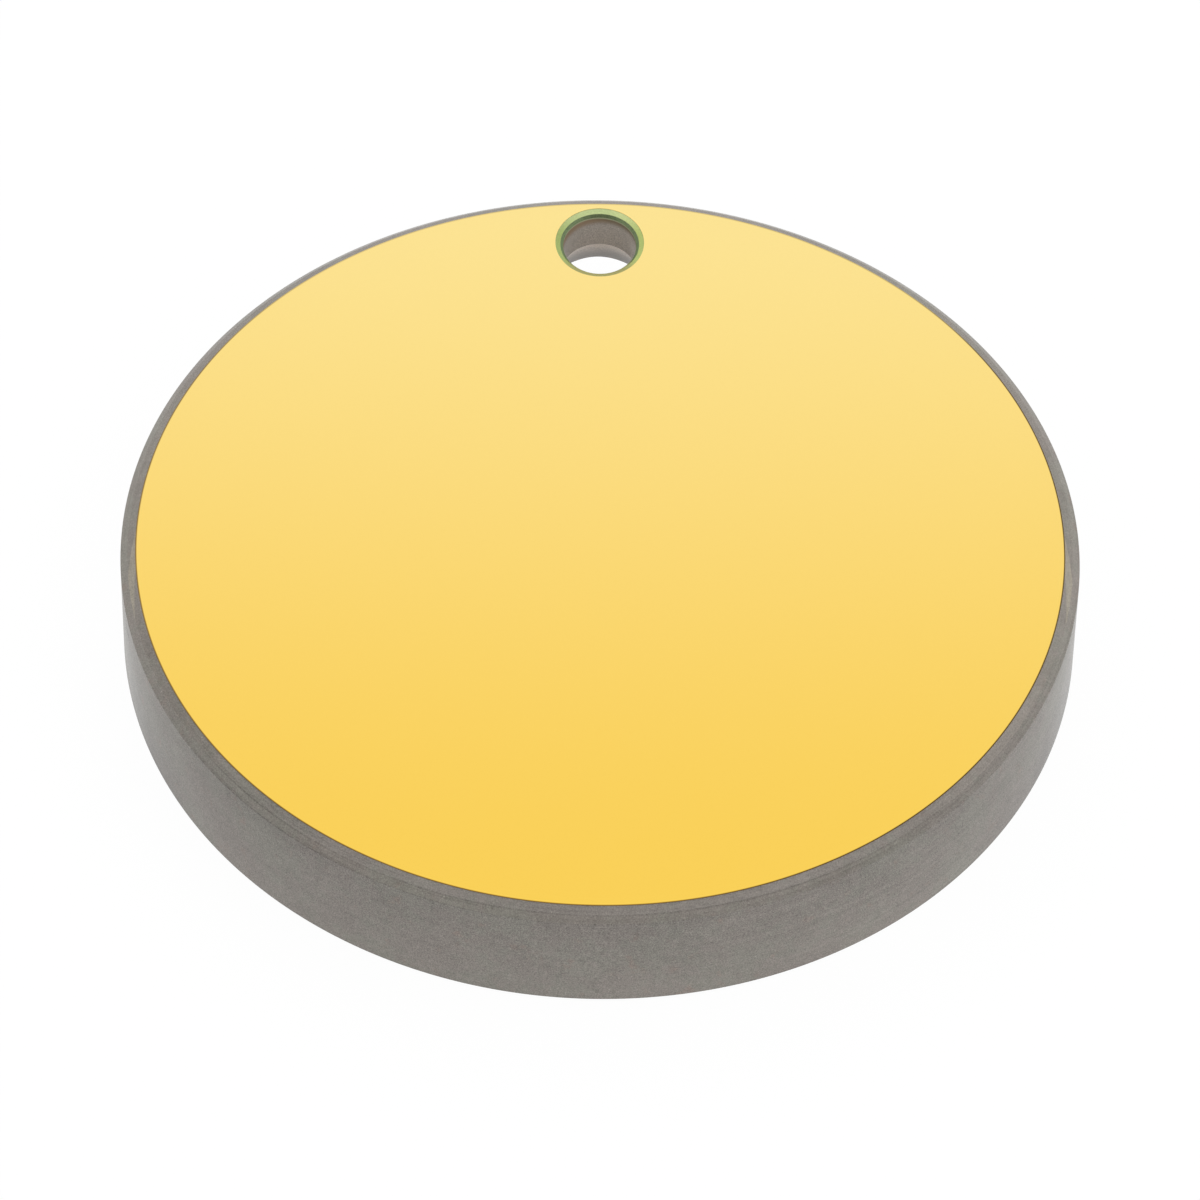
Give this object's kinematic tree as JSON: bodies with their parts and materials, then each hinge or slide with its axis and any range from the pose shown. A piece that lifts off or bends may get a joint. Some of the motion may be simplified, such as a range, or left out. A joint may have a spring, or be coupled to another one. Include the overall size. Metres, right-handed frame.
{
  "type": "concave mirror",
  "caption": "Round concave mirror for a multipass cell: gold front on a ground glass disc, with a beam hole close to the edge that flares to the back.",
  "frame": {"origin": "centre of the flat back face, on the optical axis", "axes": "+Z along the optical axis, out of the gold concave front; +Y from the axis towards the beam hole; +X to the right seen from the front with the hole up"},
  "size_m": [0.0508, 0.0508, 0.007],
  "materials": {
    "ground_glass": "fine ground, matt grey, with faint grinding marks",
    "gold": "polished gold film"
  },
  "bodies": {
    "root": {"mirror_substrate": "ground_glass", "gold_coating": "gold"}
  },
  "joints": []
}
